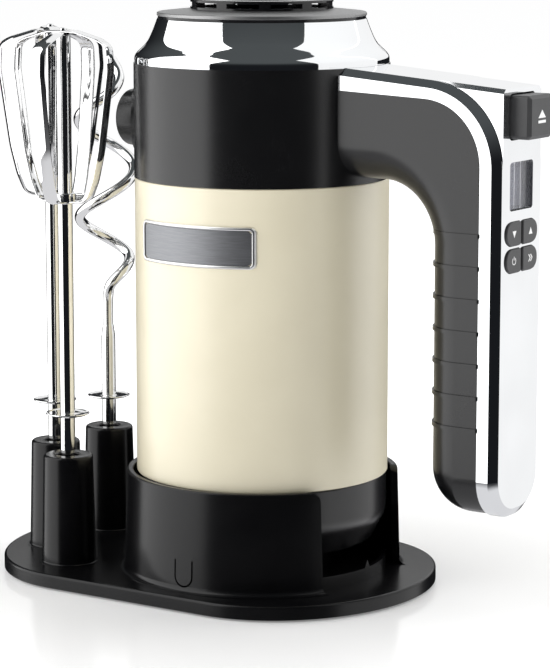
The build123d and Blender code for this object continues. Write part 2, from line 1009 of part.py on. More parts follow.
def make_gear_case():
    floor = case_plate_bottom + case_plate
    case = rod(collar_bore, case_plate_bottom, floor)
    half = case_half_width
    case += block((case_back, case_back + case_plate), (-half, half), (floor, case_top))
    case += block((-case_front, case_plate - case_front), (-half, half), (floor, case_top))
    bridge = bridge_half_width
    span = (-case_front, case_back + case_plate)
    case += block(span, (-bridge, bridge), (case_top - case_plate, case_top))
    case -= rod(bearing_radius, case_plate_bottom, case_top)
    for side in (-1, 1):
        case -= rod_along_x(bush_radius, *span, side * spindle_spacing, spindle_height)
    return case - [spot * rod(screw_radius, case_plate_bottom, floor) for spot in screw_spots()]


def make_case_screws():
    seat = case_plate_bottom + case_plate
    screw = rod(screw_radius, seat - screw_length, seat) + rod(screw_head_radius, seat, seat + screw_head)
    return [spot * screw for spot in screw_spots()]


# Tools


def tool_shaft(disc_height, top):
    shaft = rod(tool_shaft_radius, tool_bottom, top)
    return shaft + rod(splash_disc_radius, disc_height, disc_height + splash_disc_thickness)


def make_beater_shaft():
    return tool_shaft(beater_disc_height, beater_top - 1.5 * blade_thickness)


def blade_loop(drop):
    """One strip bent into a loop, from the hub on one side, over the top, to the hub on the other."""
    top = beater_top - drop
    foot = beater_hub_bottom + blade_thickness
    tall = top - foot
    shares = [(0.52, 0), (0.66, 0.12), (0.79, 0.295), (1, 0.78), (0.97, 0.92), (0.78, 0.955), (0.28, 1)]
    right = [(beater_hub_radius - blade_thickness, foot)]
    right += [(beater_radius * out, foot + tall * up) for out, up in shares]
    left = [(-x, z) for x, z in reversed(right)]
    bends = [3.5, 25, 60, 16, 3, 10, 10]
    path = FilletPolyline(*right, *left, radius=bends + bends[::-1])
    strip = trace(path, line_width=blade_thickness)
    return extrude(Plane.XZ * strip, blade_width / 2, both=True)


def make_beater_blades(turn):
    blades = blade_loop(0) + Rot(0, 0, 90) * blade_loop(blade_thickness)
    blades += rod(beater_hub_radius, beater_hub_bottom, beater_hub_top)
    blades += rod(beater_nub_radius, beater_top - blade_thickness, beater_top + beater_nub_height)
    return Rot(0, 0, turn) * (blades - rod(tool_shaft_radius, beater_hub_bottom, beater_hub_top))


def smooth_path(points):
    """Straight runs joined by tangent arcs, each as large as its two runs allow."""
    corners = [Vector(*point) for point in points]
    radii = []
    for before, here, after in zip(corners, corners[1:], corners[2:]):
        inward = here - before
        outward = after - here
        half_turn = math.radians(inward.get_angle(outward)) / 2
        radii.append(0.48 * min(inward.length, outward.length) / math.tan(half_turn))
    return FilletPolyline(*corners, radius=radii)


def make_dough_hook(turn):
    lower = tool_shaft(hook_disc_height, hook_taper_bottom)
    taper = lathe(
        [
            (0, hook_taper_bottom),
            (tool_shaft_radius, hook_taper_bottom),
            (hook_wire_radius, hook_taper_top),
            (0, hook_taper_top),
        ]
    )
    points = [(0, 0, hook_taper_top), (0, 0, hook_start)]
    steps = int(hook_turns * hook_steps_per_turn)
    for i in range(1, steps + 1):
        angle = 2 * math.pi * i / hook_steps_per_turn
        swell = min(1, i / hook_lead_in, hook_tip_share + (steps - i) / hook_tip_steps)
        radius = hook_helix_radius * swell
        height = hook_start + hook_pitch * i / hook_steps_per_turn
        points.append((radius * math.cos(angle), radius * math.sin(angle), height))
    path = smooth_path(points)
    wire = sweep(Plane(path @ 0, z_dir=path % 0) * Circle(hook_wire_radius), path=path)
    end = Pos(*points[-1]) * Sphere(hook_wire_radius)
    return Rot(0, 0, turn) * (lower + taper + wire + end)


def make_nodes():
    front_post, rear_post = (Vector(*place) for place in post_places[:2])
    along = math.degrees(math.atan2(rear_post.Y - front_post.Y, rear_post.X - front_post.X))
    beater_turns = (along + front_beater_turn, along)
    hook_turns_about = (-60, 60)
    nodes = {
        "stand_base": make_stand_base(),
        "stand_feet": make_stand_feet(),
        "mixer_cup": make_mixer_cup(),
        "cord_tray": make_cord_tray(),
        "tail_cap": make_tail_cap(),
        "cord_gland": make_cord_gland(),
        "body_sleeve": make_body_sleeve(),
        "collar_housing": make_collar_housing(),
        "socket_boss": make_socket_boss(),
        "nose_cover": make_nose_cover(),
        "nose_plate": make_nose_plate(),
        "vent_grille": make_vent_grille(),
        "vent_cap": make_vent_cap(),
        "badge_frame": make_badge_frame(),
        "badge_plate": make_badge_plate(),
        "handle_shell": make_handle_shell(),
        "handle_cover": make_handle_cover(),
        "display_lens": make_display_lens(),
        "display_module": make_display_module(),
        "control_board": make_control_board(),
        "key_switches": make_key_switches(),
        "eject_button": make_eject_button(),
        "eject_rod": make_eject_rod(),
        "ejector_fork": make_ejector_fork(),
        "eject_spring": make_eject_spring(),
        "motor_can": make_motor_can(),
        "stator_core": make_stator_core(),
        "field_coils": make_field_coils(),
        "rotor_shaft": make_rotor_shaft(),
        "rotor_core": make_rotor_core(),
        "rotor_winding": make_rotor_winding(),
        "commutator": make_commutator(),
        "motor_bearings": make_motor_bearings(),
        "carbon_brushes": make_carbon_brushes(),
        "brush_holders": make_brush_holders(),
        "cooling_fan": make_cooling_fan(),
        "gear_case": make_gear_case(),
        "case_screws": make_case_screws(),
        "spindle_bushes": make_spindle_bushes(),
    }
    key_names = ("speed_down_key", "speed_up_key", "power_key", "boost_key")
    for name, place in zip(key_names, key_places()):
        nodes[name] = make_key(place)
    for number, side in enumerate((-1, 1), start=1):
        nodes[f"worm_wheel_{number}"] = make_worm_wheel(side)
        nodes[f"spindle_{number}"] = make_spindle(side)
    for number, (x, y) in enumerate(post_places, start=1):
        nodes[f"tool_post_{number}"] = Pos(x, y, 0) * make_tool_post()
    for number, turn in enumerate(beater_turns, start=1):
        place = Pos(*post_places[number - 1], 0)
        nodes[f"beater_{number}_shaft"] = place * make_beater_shaft()
        nodes[f"beater_{number}_blades"] = place * make_beater_blades(turn)
    for number, turn in enumerate(hook_turns_about, start=1):
        nodes[f"dough_hook_{number}"] = Pos(*post_places[number + 1], 0) * make_dough_hook(turn)
    return nodes


def export_nodes(nodes):
    """Writes one file per node, moved so that the origin lies under the middle of the whole object."""
    os.makedirs("parts", exist_ok=True)
    for name, shape in nodes.items():
        solids = shape if isinstance(shape, list) else [shape]
        moved = [Pos(frame_shift, 0, 0) * solid for solid in solids]
        body = moved[0] if len(moved) == 1 else Compound(children=moved)
        export_step(body, f"parts/{name}.step")


export_nodes(make_nodes())
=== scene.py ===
import json
import math

import bmesh
import bpy
from mathutils import Matrix, Vector


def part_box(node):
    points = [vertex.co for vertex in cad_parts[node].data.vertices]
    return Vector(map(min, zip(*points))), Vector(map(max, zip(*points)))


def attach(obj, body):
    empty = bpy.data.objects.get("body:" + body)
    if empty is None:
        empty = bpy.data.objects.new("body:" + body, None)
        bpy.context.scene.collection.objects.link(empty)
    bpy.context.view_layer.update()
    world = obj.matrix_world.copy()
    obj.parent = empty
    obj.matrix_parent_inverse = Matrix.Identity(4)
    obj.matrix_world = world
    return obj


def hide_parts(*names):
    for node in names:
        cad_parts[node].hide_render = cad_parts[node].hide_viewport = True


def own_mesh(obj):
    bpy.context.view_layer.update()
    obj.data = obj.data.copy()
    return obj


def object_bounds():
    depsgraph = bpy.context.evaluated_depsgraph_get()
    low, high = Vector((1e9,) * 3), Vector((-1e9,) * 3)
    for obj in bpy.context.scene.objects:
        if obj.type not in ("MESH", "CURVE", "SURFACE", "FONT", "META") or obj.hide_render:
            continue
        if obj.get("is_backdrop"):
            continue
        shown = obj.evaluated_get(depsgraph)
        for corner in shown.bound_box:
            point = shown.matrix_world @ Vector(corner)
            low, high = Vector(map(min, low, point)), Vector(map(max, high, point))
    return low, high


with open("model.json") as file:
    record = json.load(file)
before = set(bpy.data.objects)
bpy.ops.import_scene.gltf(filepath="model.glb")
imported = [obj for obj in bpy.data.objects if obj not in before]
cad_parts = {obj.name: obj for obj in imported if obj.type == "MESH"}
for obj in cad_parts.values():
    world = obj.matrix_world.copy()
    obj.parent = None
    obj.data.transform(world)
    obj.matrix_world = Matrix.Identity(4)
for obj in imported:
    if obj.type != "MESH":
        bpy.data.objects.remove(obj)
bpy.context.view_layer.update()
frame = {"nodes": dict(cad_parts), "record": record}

# Profiles and outlines are written in millimetres. The scene, its lights and its patterns are in metres.
MM = 0.001


# Node trees


class Signal:
    """One output in a node tree. Arithmetic on it adds Math nodes to that tree."""

    def __init__(self, nodes, socket):
        self.nodes = nodes
        self.socket = socket

    def maths(self, operation, *values):
        return self.nodes.node("ShaderNodeMath", {"operation": operation}, dict(enumerate(values)))

    def __add__(self, other):
        return self.maths("ADD", self, other)

    def __radd__(self, other):
        return self.maths("ADD", other, self)

    def __sub__(self, other):
        return self.maths("SUBTRACT", self, other)

    def __rsub__(self, other):
        return self.maths("SUBTRACT", other, self)

    def __mul__(self, other):
        return self.maths("MULTIPLY", self, other)

    def __rmul__(self, other):
        return self.maths("MULTIPLY", other, self)

    def __pow__(self, other):
        return self.maths("POWER", self, other)

    def sine(self):
        return self.maths("SINE", self)

    def absolute(self):
        return self.maths("ABSOLUTE", self)

    def between(self, low, high):
        """0 below low, 1 above high, and a smooth rise from one to the other."""
        limits = {"Value": self, "From Min": low, "From Max": high}
        return self.nodes.node("ShaderNodeMapRange", {"interpolation_type": "SMOOTHSTEP"}, limits)


class Nodes:
    """A node tree, and a method that adds any node it needs."""

    def __init__(self, tree):
        self.tree = tree

    def feed(self, socket, value):
        if isinstance(value, Signal):
            self.tree.links.new(value.socket, socket)
        elif socket.type == "RGBA" and len(value) == 3:
            socket.default_value = (*value, 1)
        else:
            socket.default_value = value

    def node(self, kind, settings=None, inputs=None, output=0):
        made = self.tree.nodes.new(kind)
        for name, value in (settings or {}).items():
            setattr(made, name, value)
        for name, value in (inputs or {}).items():
            self.feed(made.inputs[name], value)
        return Signal(self, made.outputs[output])

    def split(self, point):
        parts = self.tree.nodes.new("ShaderNodeSeparateXYZ")
        self.feed(parts.inputs[0], point)
        return [Signal(self, output) for output in parts.outputs]

    def mix(self, amount, low, high):
        """A colour between two colours. The sockets go by number, because the node repeats their names."""
        return self.node("ShaderNodeMix", {"data_type": "RGBA"}, {0: amount, 6: low, 7: high}, output=2)


class Finish(Nodes):
    """A material with one shader."""

    def __init__(self, name, **fixed):
        self.material = bpy.data.materials.new(name)
        self.material.use_nodes = True
        super().__init__(self.material.node_tree)
        self.shader = self.tree.nodes["Principled BSDF"]
        self.set(**fixed)

    def set(self, **values):
        for name, value in values.items():
            label = name.replace("_", " ").title().replace("Ior", "IOR")
            self.feed(self.shader.inputs[label], value)

    def place(self, scale=(1, 1, 1), centre=(0, 0, 0)):
        """Object coordinates about a centre, stretched by a scale."""
        point = self.node("ShaderNodeTexCoord", output="Object")
        moved = self.node("ShaderNodeVectorMath", {"operation": "SUBTRACT"}, {0: point, 1: centre})
        return self.node("ShaderNodeVectorMath", {"operation": "MULTIPLY"}, {0: moved, 1: scale})

    def noise(self, point, scale, detail, rough=0.5):
        values = {"Vector": point, "Scale": scale, "Detail": detail, "Roughness": rough}
        return self.node("ShaderNodeTexNoise", None, values)

    def bump(self, height, strength, distance):
        values = {"Height": height, "Strength": strength, "Distance": distance}
        self.set(normal=self.node("ShaderNodeBump", None, values))


# Finishes


NOISE_MIDDLE = 0.5


def dimmed(colour, share):
    return [share * part for part in colour]


def moulded(name, dark, light, rough, grain, depth, **fixed):
    """Moulded plastic, rubber or paint: a fine grain, and broad uneven gloss from handling."""
    finish = Finish(name, **fixed)
    point = finish.place()
    fine = finish.noise(point, grain, detail=2.0)
    broad = finish.noise(point, scale=38.0, detail=3.0)
    handled = (broad - NOISE_MIDDLE) * (0.22 * rough)
    grained = (fine - NOISE_MIDDLE) * (0.12 * rough)
    finish.set(base_color=finish.mix(broad.between(0.35, 0.65), dark, light))
    finish.set(roughness=rough + handled + grained)
    finish.bump(fine, strength=0.35, distance=depth)
    return finish.material


def polished(name, tint, rough):
    """Plated or polished metal: almost a mirror, with faint wipe marks in its gloss."""
    finish = Finish(name, metallic=1.0)
    wiped = finish.noise(finish.place(scale=(1, 1, 0.25)), scale=130.0, detail=4.0, rough=0.6)
    broad = finish.noise(finish.place(), scale=24.0, detail=2.0)
    finish.set(base_color=finish.mix(broad.between(0.3, 0.7), dimmed(tint, 0.94), tint))
    finish.set(roughness=rough * (0.7 + 0.6 * wiped))
    return finish.material


def brush_marks(finish, strokes, tint, low_tint, rough, spread):
    """The colour, gloss and relief of brushed metal, from one pattern of strokes."""
    finish.set(base_color=finish.mix(strokes.between(0.3, 0.7), low_tint, tint))
    finish.set(roughness=rough + (strokes - NOISE_MIDDLE) * spread)
    finish.bump(strokes, strength=0.25, distance=0.00004)
    return finish.material


def turned_satin(name, tint, rough, centre):
    """Metal brushed in circles about an upright axis."""
    finish = Finish(name, metallic=1.0)
    x, y, _ = finish.split(finish.place(centre=centre))
    radius = (x * x + y * y) ** 0.5
    ring = finish.node("ShaderNodeCombineXYZ", None, {0: radius})
    strokes = finish.noise(ring, scale=2600.0, detail=4.0, rough=0.7)
    return brush_marks(finish, strokes, tint, dimmed(tint, 0.82), rough, spread=0.16)


def brushed(name, tint, rough, stretch, scale):
    """Metal brushed in straight strokes along the axes that a stretch shortens."""
    finish = Finish(name, metallic=1.0)
    strokes = finish.noise(finish.place(stretch), scale, detail=4.0, rough=0.65)
    return brush_marks(finish, strokes, tint, dimmed(tint, 0.80), rough, spread=0.2)


def layered(name, dark, light, rough, pitch):
    """Stacked steel sheets or close copper windings: fine lines one above the other."""
    finish = Finish(name, metallic=1.0)
    point = finish.place()
    _, _, height = finish.split(point)
    lines = (height * (2 * math.pi / pitch)).sine() * 0.5 + 0.5
    patches = finish.noise(point, scale=160.0, detail=3.0)
    finish.set(base_color=finish.mix(lines * 0.7 + patches * 0.3, dark, light))
    finish.set(roughness=rough + (patches - NOISE_MIDDLE) * 0.15)
    finish.bump(lines, strength=0.5, distance=0.3 * pitch)
    return finish.material


def circuit_board(name):
    """Green lacquer over a net of raised copper tracks."""
    lacquer, track = (0.012, 0.095, 0.035), (0.05, 0.24, 0.09)
    finish = Finish(name, coat_weight=0.3)
    pattern = {"distance": "MANHATTAN", "feature": "DISTANCE_TO_EDGE"}
    cells = finish.node("ShaderNodeTexVoronoi", pattern, {"Vector": finish.place(), "Scale": 260.0})
    tracks = 1 - cells.between(0.05, 0.09)
    finish.set(base_color=finish.mix(tracks, lacquer, track))
    finish.set(roughness=0.42 - 0.12 * tracks)
    finish.bump(tracks, strength=0.4, distance=0.00003)
    return finish.material


def display_panel(name):
    """A grey-lilac display that is switched off, with painted shade darkening one side, upright streaks of
    painted reflection, and two pale lines of painted reflection.
    """
    # The shadow colour is painted shade, and the pale colour is painted reflection.
    lilac, shadow, pale = (0.150, 0.155, 0.200), (0.024, 0.024, 0.028), (0.80, 0.80, 0.84)
    half_line = 0.0002
    finish = Finish(name, coat_weight=0.6)
    _, across, _ = finish.split(finish.place())
    # Upright streaks of painted reflection in the colour, which also vary the gloss.
    painted_reflection_streaks = finish.noise(finish.place(scale=(1, 1, 0.04)), scale=420.0, detail=2.0)
    # Painted shade: the glass darkens towards one side.
    painted_shade_fade = across.between(-0.006, 0.008)
    # The glass colour here carries the painted shade and the painted reflection streaks.
    glass = finish.mix(painted_shade_fade * 0.8 + painted_reflection_streaks * 0.2, lilac, shadow)

    # Each pale line is a painted reflection.
    def painted_reflection_line(at):
        return 1 - ((across - at).absolute() - half_line).between(0, half_line)

    lines = 0.6 * painted_reflection_line(-0.003) + 0.5 * painted_reflection_line(0.002)
    finish.set(base_color=finish.mix(lines, glass, pale))
    finish.set(roughness=0.22 + 0.1 * painted_reflection_streaks)
    return finish.material


def display_window(name):
    """The clear cover over the display, faintly smeared."""
    finish = Finish(name, base_color=(0.40, 0.41, 0.45), roughness=0.04, coat_weight=0.5)
    smears = finish.noise(finish.place(), scale=90.0, detail=3.0)
    finish.set(alpha=0.06 + 0.04 * smears)
    return finish.material


def key_print(name):
    """White ink, slightly speckled."""
    finish = Finish(name)
    speckle = finish.noise(finish.place(), scale=1800.0, detail=2.0)
    finish.set(base_color=finish.mix(speckle, (0.72, 0.72, 0.72), (0.86, 0.86, 0.86)))
    finish.set(roughness=0.5 + 0.1 * speckle)
    return finish.material


def centre_of(node):
    low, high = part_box(node)
    return (low + high) / 2


def round_size(node):
    """A round node's radius, and its lowest and highest level, in millimetres."""
    low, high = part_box(node)
    return (high.x - low.x) / 2 / MM, low.z / MM, high.z / MM


DRUM_AXIS = Vector((centre_of("body_sleeve").x, 0, 0))

# Dark colour, light colour, roughness, grains to the metre, depth of the grain
MOULDED = {
    "stand_black": ((0.0025, 0.0025, 0.003), (0.004, 0.004, 0.0045), 0.25, 1500.0, 0.00002),
    "foot_rubber": ((0.020, 0.020, 0.020), (0.032, 0.032, 0.031), 0.78, 900.0, 0.00008),
    "cream_paint": ((0.715, 0.656, 0.486), (0.735, 0.676, 0.504), 0.46, 1100.0, 0.00002),
    "soft_black": ((0.0025, 0.0025, 0.003), (0.004, 0.004, 0.0045), 0.26, 2400.0, 0.00003),
    "gloss_black": ((0.006, 0.006, 0.007), (0.010, 0.010, 0.011), 0.16, 1200.0, 0.00001),
    "switch_black": ((0.015, 0.015, 0.016), (0.028, 0.028, 0.030), 0.5, 1500.0, 0.00003),
    "key_grey": ((0.042, 0.042, 0.044), (0.054, 0.054, 0.056), 0.40, 2000.0, 0.00002),
    "nylon": ((0.70, 0.69, 0.64), (0.80, 0.79, 0.74), 0.48, 1200.0, 0.00003),
    "carbon": ((0.018, 0.018, 0.018), (0.034, 0.034, 0.034), 0.62, 1300.0, 0.00004),
    "case_grey": ((0.17, 0.18, 0.19), (0.22, 0.23, 0.24), 0.55, 1100.0, 0.00004),
}
MOULDED_GLOSS = {
    "stand_black": {"specular_ior_level": 0.32},
    "cream_paint": {"specular_ior_level": 0.8, "coat_weight": 1.0, "coat_roughness": 0.34},
    "soft_black": {"specular_ior_level": 0.6},
}
# Tint, roughness
POLISHED = {
    "bright_chrome": ((0.90, 0.91, 0.92), 0.035),
    "badge_silver": ((0.92, 0.92, 0.92), 0.32),
    "tool_steel": ((0.86, 0.86, 0.86), 0.05),
    "spring_steel": ((0.62, 0.62, 0.64), 0.22),
}
# Tint, roughness, stretch, strokes to the metre
BRUSHED = {
    "badge_satin": ((0.33, 0.335, 0.35), 0.50, (0.05, 0.05, 1), 2600.0),
    "motor_steel": ((0.55, 0.56, 0.58), 0.42, (0.2, 0.2, 1), 1500.0),
    "bright_steel": ((0.66, 0.66, 0.68), 0.24, (1, 0.2, 0.2), 1900.0),
    "bronze": ((0.62, 0.42, 0.19), 0.40, (1, 1, 1), 900.0),
}
# Dark colour, light colour, roughness, pitch of the lines
LAYERED = {
    "lamination": ((0.16, 0.16, 0.17), (0.40, 0.40, 0.42), 0.45, 0.0009),
    "copper": ((0.36, 0.12, 0.05), (0.78, 0.36, 0.17), 0.30, 0.0007),
}
SINGLE = {
    "display_glass": display_window,
    "display_grey": display_panel,
    "board_green": circuit_board,
    "key_print": key_print,
}

FINISHES = {"satin_disc": turned_satin("satin_disc", (0.40, 0.40, 0.40), 0.46, DRUM_AXIS)}
for name, row in MOULDED.items():
    FINISHES[name] = moulded(name, *row, **MOULDED_GLOSS.get(name, {}))
for make, rows in ((polished, POLISHED), (brushed, BRUSHED), (layered, LAYERED)):
    for name, row in rows.items():
        FINISHES[name] = make(name, *row)
for name, make in SINGLE.items():
    FINISHES[name] = make(name)

SLOT_OF = {entry["node"]: entry["material_slot"] for entry in frame["record"]["subparts"]}
BODY_OF = {}
for body, nodes in frame["record"]["behaviour"]["bodies"].items():
    BODY_OF.update(dict.fromkeys(nodes, body))


# Mesh helpers


def add_piece(name, mesh, body, finish):
    """Puts a mesh in the scene as a finished piece of the object that rides on a body."""
    if not mesh.materials:
        mesh.materials.append(FINISHES[finish])
    mesh.materials[0] = FINISHES[finish]
    piece = bpy.data.objects.new(name, mesh)
    bpy.context.scene.collection.objects.link(piece)
    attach(piece, body)
    return piece


def stand_for(node, mesh, finish=None):
    """A finished piece in the place of one CAD node."""
    piece = add_piece(f"{node}_finished", mesh, BODY_OF[node], finish or SLOT_OF[node])
    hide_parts(node)
    return piece


def shade(mesh, sharp_over=28):
    mesh.shade_smooth()
    mesh.set_sharp_from_angle(angle=math.radians(sharp_over))
    return mesh


def mesh_from(build):
    mesh = bpy.data.meshes.new("piece")
    build.to_mesh(mesh)
    build.free()
    return mesh


def joined(*meshes):
    build = bmesh.new()
    for mesh in meshes:
        build.from_mesh(mesh)
    return mesh_from(build)


def plain_mesh(name, data, modify=None):
    """The mesh that a curve, or a mesh with a modifier, gives when it is evaluated."""
    carrier = bpy.data.objects.new(name, data)
    bpy.context.scene.collection.objects.link(carrier)
    if modify:
        modify(carrier)
    evaluated = carrier.evaluated_get(bpy.context.evaluated_depsgraph_get())
    mesh = bpy.data.meshes.new_from_object(evaluated)
    bpy.data.objects.remove(carrier)
    return mesh


def rounded(points, radii, steps=8):
    """A line through points with each corner rounded by its own radius, which its sides may limit."""
    most_of_side = 0.499
    line = []
    for index, (point, radius) in enumerate(zip(points, radii)):
        here = Vector(point)
        if radius == 0 or index in (0, len(points) - 1):
            line.append(here)
            continue
        back = Vector(points[index - 1]) - here
        ahead = Vector(points[index + 1]) - here
        half = back.angle(ahead) / 2
        reach = min(radius / math.tan(half), most_of_side * back.length, most_of_side * ahead.length)
        start = here + back.normalized() * reach
        end = here + ahead.normalized() * reach
        inwards = (back.normalized() + ahead.normalized()).normalized()
        centre = here + inwards * (reach / math.cos(half))
        first = start - centre
        last = end - centre
        for step in range(steps + 1):
            spoke = first.normalized().slerp(last.normalized(), step / steps)
            line.append(centre + spoke * first.length)
    return line


def flowing(points, steps):
    """A smooth line through points, which bends evenly from one to the next."""
    knots = [Vector(point) for point in points]
    knots = [2 * knots[0] - knots[1]] + knots + [2 * knots[-1] - knots[-2]]
    line = []
    for before, start, end, after in zip(knots, knots[1:], knots[2:], knots[3:]):
        for step in range(steps):
            t = step / steps
            bend = (2 * before - 5 * start + 4 * end - after) * t * t
            twist = (3 * start - before - 3 * end + after) * t * t * t
            line.append(0.5 * (2 * start + (end - before) * t + bend + twist))
    return line + [knots[-2]]


def turned(points, radii, centre, segments):
    """A turned shape from (radius, height) points, which close on themselves or on the axis."""
    on_axis = 1e-6
    same_point = 0.0005
    build = bmesh.new()
    rings = []
    for radius, height in rounded(points, radii):
        if radius < on_axis:
            rings.append([build.verts.new((centre[0], centre[1], height * MM))])
            continue
        ring = []
        for step in range(segments):
            angle = 2 * math.pi * step / segments
            x = centre[0] + radius * MM * math.cos(angle)
            y = centre[1] + radius * MM * math.sin(angle)
            ring.append(build.verts.new((x, y, height * MM)))
        rings.append(ring)
    for lower, upper in zip(rings, rings[1:]):
        if len(lower) == len(upper) == 1:
            continue
        for step in range(segments):
            after = (step + 1) % segments
            corners = [lower[step % len(lower)], lower[after % len(lower)]]
            corners += [upper[after % len(upper)], upper[step % len(upper)]]
            build.faces.new(dict.fromkeys(corners))
    bmesh.ops.remove_doubles(build, verts=build.verts, dist=same_point * MM)
    bmesh.ops.recalc_face_normals(build, faces=build.faces)
    return shade(mesh_from(build))


def skin(build, rings):
    """Bands of faces that join each ring of corners to the next."""
    for ring, after in zip(rings, rings[1:]):
        for step in range(len(ring)):
            other = (step + 1) % len(ring)
            build.faces.new((ring[step], ring[other], after[other], after[step]))


# Casing


CASING_SEGMENTS = 192


def make_sleeve():
    wall, edge = 2.2, 0.7
    outer, bottom, top = round_size("body_sleeve")
    inner = outer - wall
    points = [(inner, bottom), (outer, bottom), (outer, top), (inner, top), (inner, bottom)]
    return turned(points, [0, edge, edge, 0, 0], DRUM_AXIS, CASING_SEGMENTS)


def make_nose_cover():
    """The chromed shoulder: a short upright skirt that sweeps inwards to a neck, in one flowing line."""
    wall, steps = 1.5, 5
    skirt = [(52.3, 0), (52.3, 1.7), (52.05, 2.9)]
    sweep = [(51.1, 4.3), (49.4, 5.9), (47.7, 7.6), (46.4, 9.5)]
    neck = [(45.3, 11.8), (44.3, 14.2), (43.5, 16.3), (42.9, 18.0)]
    _, foot, _ = round_size("nose_cover")
    outer = flowing([(radius, foot + rise) for radius, rise in skirt + sweep + neck], steps)
    inner = [Vector((point.x - wall, point.y)) for point in reversed(outer)]
    points = [tuple(point) for point in outer + inner + outer[:1]]
    return turned(points, [0] * len(points), DRUM_AXIS, CASING_SEGMENTS)


def make_nose_plate():
    """A ring that rises gently from its rim to the vent in its middle."""
    bore, rim, rim_edge = 29.3, 1.4, 0.6
    outer, bottom, top = round_size("nose_plate")
    points = [(bore, bottom), (outer, bottom), (outer, bottom + rim), (bore, top), (bore, bottom)]
    return turned(points, [0, 0.2, rim_edge, 0, 0], DRUM_AXIS, CASING_SEGMENTS)


def make_vent_cap():
    """A flat cap with a raised rim round a shallow dish."""
    rim, slope, dish, edge, bend = 3, 1, 0.35, 0.3, 0.2
    outer, bottom, top = round_size("vent_cap")
    points = [(0, bottom), (outer, bottom), (outer, top), (outer - rim, top)]
    points += [(outer - rim - slope, top - dish), (0, top - dish)]
    return turned(points, [0, 0, edge, bend, bend, 0], DRUM_AXIS, 128)


def make_badge_frame():
    """A half-round bead that runs round the badge and lies on the sleeve."""
    half_bead, rise, fullness, corner = 0.8, 1.2, 0.8, 1.6
    longest_step, arc_steps = 1.5, 10
    sleeve, _, _ = round_size("body_sleeve")
    level = centre_of("badge_frame").z
    low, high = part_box("badge_frame")
    wide = (high.x - low.x) / 2 / MM - half_bead
    tall = (high.z - low.z) / 2 / MM - half_bead
    corners = [(0, -tall), (wide, -tall), (wide, tall), (-wide, tall), (-wide, -tall), (0, -tall)]
    outline = rounded(corners, [0, corner, corner, corner, corner, 0])
    line = []
    for start, end in zip(outline, outline[1:]):
        steps = max(1, math.ceil((end - start).length / longest_step))
        line += [start.lerp(end, step / steps) for step in range(steps)]
    build = bmesh.new()
    rings = []
    for index, point in enumerate(line):
        along = (line[(index + 1) % len(line)] - line[index - 1]).normalized()
        out = Vector((along.y, -along.x))
        ring = []
        for step in range(arc_steps + 1):
            angle = math.pi * step / arc_steps
            across, up = point + out * (half_bead * math.cos(angle))
            radius = sleeve + rise * math.sin(angle) ** fullness
            depth = math.sqrt(radius * radius - across * across)
            ring.append(build.verts.new((DRUM_AXIS.x + across * MM, -depth * MM, level + up * MM)))
        rings.append(ring)
    skin(build, rings + rings[:1])
    bmesh.ops.recalc_face_normals(build, faces=build.faces)
    return shade(mesh_from(build), sharp_over=50)


# Motor


def ring_of_bars(name, count, radius, size, height, finish):
    """Geometry Nodes that stand straight bars on a circle about the drum's axis, facing outwards."""
    tree = bpy.data.node_groups.new(name, "GeometryNodeTree")
    tree.interface.new_socket("Geometry", in_out="OUTPUT", socket_type="NodeSocketGeometry")
    given_sizes = {
        "Count": ("NodeSocketInt", count),
        "Radius": ("NodeSocketFloat", radius),
        "Size": ("NodeSocketVector", size),
        "Height": ("NodeSocketFloat", height),
    }
    for label, (kind, _) in given_sizes.items():
        tree.interface.new_socket(label, in_out="INPUT", socket_type=kind)
    given = tree.nodes.new("NodeGroupInput")
    result = tree.nodes.new("NodeGroupOutput")
    circle = tree.nodes.new("GeometryNodeMeshCircle")
    bar = tree.nodes.new("GeometryNodeMeshCube")
    facing = tree.nodes.new("FunctionNodeAlignRotationToVector")
    spoke = tree.nodes.new("GeometryNodeInputPosition")
    spread = tree.nodes.new("GeometryNodeInstanceOnPoints")
    lift = tree.nodes.new("GeometryNodeTransform")
    rise = tree.nodes.new("ShaderNodeCombineXYZ")
    plain = tree.nodes.new("GeometryNodeRealizeInstances")
    coat = tree.nodes.new("GeometryNodeSetMaterial")
    coat.inputs["Material"].default_value = FINISHES[finish]
    facing.axis = "X"
    for source, target in (
        (given.outputs["Count"], circle.inputs["Vertices"]),
        (given.outputs["Radius"], circle.inputs["Radius"]),
        (given.outputs["Size"], bar.inputs["Size"]),
        (given.outputs["Height"], rise.inputs["Z"]),
        (circle.outputs["Mesh"], spread.inputs["Points"]),
        (bar.outputs["Mesh"], spread.inputs["Instance"]),
        (spoke.outputs["Position"], facing.inputs["Vector"]),
        (facing.outputs["Rotation"], spread.inputs["Rotation"]),
        (spread.outputs["Instances"], lift.inputs["Geometry"]),
        (rise.outputs["Vector"], lift.inputs["Translation"]),
        (lift.outputs["Geometry"], plain.inputs["Geometry"]),
        (plain.outputs["Geometry"], coat.inputs["Geometry"]),
        (coat.outputs["Geometry"], result.inputs["Geometry"]),
    ):
        tree.links.new(source, target)

    def add_tree(carrier):
        nodes = carrier.modifiers.new(name, "NODES")
        nodes.node_group = tree
        for item in tree.interface.items_tree:
            if item.in_out == "INPUT":
                nodes[item.identifier] = given_sizes[item.name][1]

    mesh = plain_mesh(name, bpy.data.meshes.new(name), add_tree)
    mesh.transform(Matrix.Translation(DRUM_AXIS))
    return mesh


# Tools


SHAFT_RADIUS = 3.1
SHAFT_END_ROUND = 0.8
SHAFT_SEGMENTS = 64
BEATER_DISC_LEVEL = 69.0
HOOK_DISC_LEVEL = 65.0
DISC_RADIUS = 9.25
DISC_ROUNDS = [0.4, 1, 0.3, 0.3, 1, 0.4]


def disc_profile(level):
    """A thin splash disc on a shaft, with its rim turned up into a shallow saucer."""
    return [
        (SHAFT_RADIUS, level),
        (DISC_RADIUS - 1.5, level + 0.1),
        (DISC_RADIUS, level + 0.8),
        (DISC_RADIUS, level + 1.4),
        (DISC_RADIUS - 1.6, level + 1.0),
        (SHAFT_RADIUS, level + 0.9),
    ]


